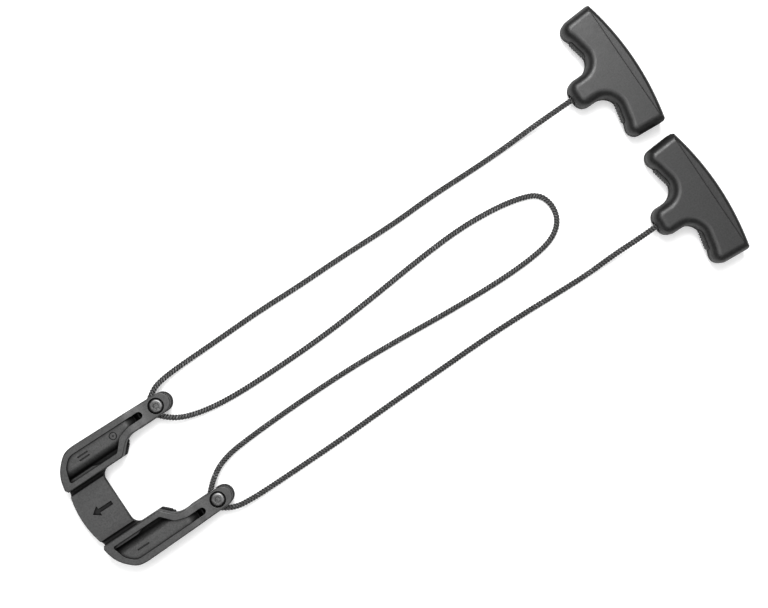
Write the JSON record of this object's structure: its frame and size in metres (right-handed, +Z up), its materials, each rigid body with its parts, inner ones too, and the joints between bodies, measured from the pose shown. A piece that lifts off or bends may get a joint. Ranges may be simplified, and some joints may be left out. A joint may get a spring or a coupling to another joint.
{
  "type": "crossbow rope cocking aid",
  "caption": "U-shaped cocking sled with string hooks and rear pulleys, on a braided cord with a T-handle at each end.",
  "frame": {"origin": "on the floor plane, under the middle of the box round the sled and both handles", "axes": "+X from the sled to the handles; +Y to the side marked with two bars, which is the user's right hand when facing along the arrow (-X); +Z up, away from the surface the tool lies on"},
  "size_m": [0.5113, 0.2082, 0.024],
  "materials": {
    "sled_plastic": "satin moulded",
    "handle_plastic": "satin moulded",
    "plug_plastic": "satin moulded",
    "pad_rubber": "ribbed, matt",
    "pulley_steel": "turned",
    "screw_steel": "satin",
    "nut_steel": "zinc plated",
    "cord_braid": "braided"
  },
  "bodies": {
    "sled": {"sled_body": "sled_plastic", "axle_screw_right": "screw_steel", "axle_screw_left": "screw_steel", "lock_nut_right": "nut_steel", "lock_nut_left": "nut_steel", "cord": "cord_braid"},
    "pulley_right": {"pulley_right": "pulley_steel"},
    "cord_end_right": {"cord_end_right": "cord_braid", "knot_washer_right": "nut_steel"},
    "handle_right": {"handle_grip_right": "handle_plastic", "palm_plug_right": "plug_plastic", "finger_pad_outer_right": "pad_rubber", "finger_pad_inner_right": "pad_rubber"},
    "pulley_left": {"pulley_left": "pulley_steel"},
    "cord_end_left": {"cord_end_left": "cord_braid", "knot_washer_left": "nut_steel"},
    "handle_left": {"handle_grip_left": "handle_plastic", "palm_plug_left": "plug_plastic", "finger_pad_outer_left": "pad_rubber", "finger_pad_inner_left": "pad_rubber"}
  },
  "joints": [
    {"name": "pulley_right_spin", "type": "hinge", "parent": "sled", "child": "pulley_right", "pos_m": [-0.167, 0.0368, 0.0093], "axis": [0, 0, 1], "continuous": true},
    {"name": "pulley_left_spin", "type": "hinge", "parent": "sled", "child": "pulley_left", "pos_m": [-0.167, -0.0434, 0.0093], "axis": [0, 0, 1], "continuous": true},
    {"name": "handle_right_swing", "type": "hinge", "parent": "sled", "child": "cord_end_right", "pos_m": [0.2026, 0.0545, 0.012], "axis": [0, 0, 1], "range_deg": [0, 60]},
    {"name": "handle_right_twist", "type": "hinge", "parent": "cord_end_right", "child": "handle_right", "pos_m": [0.2026, 0.0545, 0.012], "axis": [0.9999, 0.0122, 0], "range_deg": [-180, 180]},
    {"name": "handle_left_swing", "type": "hinge", "parent": "sled", "child": "cord_end_left", "pos_m": [0.2026, -0.0545, 0.012], "axis": [0, 0, 1], "range_deg": [-60, 0]},
    {"name": "handle_left_twist", "type": "hinge", "parent": "cord_end_left", "child": "handle_left", "pos_m": [0.2026, -0.0545, 0.012], "axis": [1, 0.0061, 0], "range_deg": [-180, 180]}
  ]
}
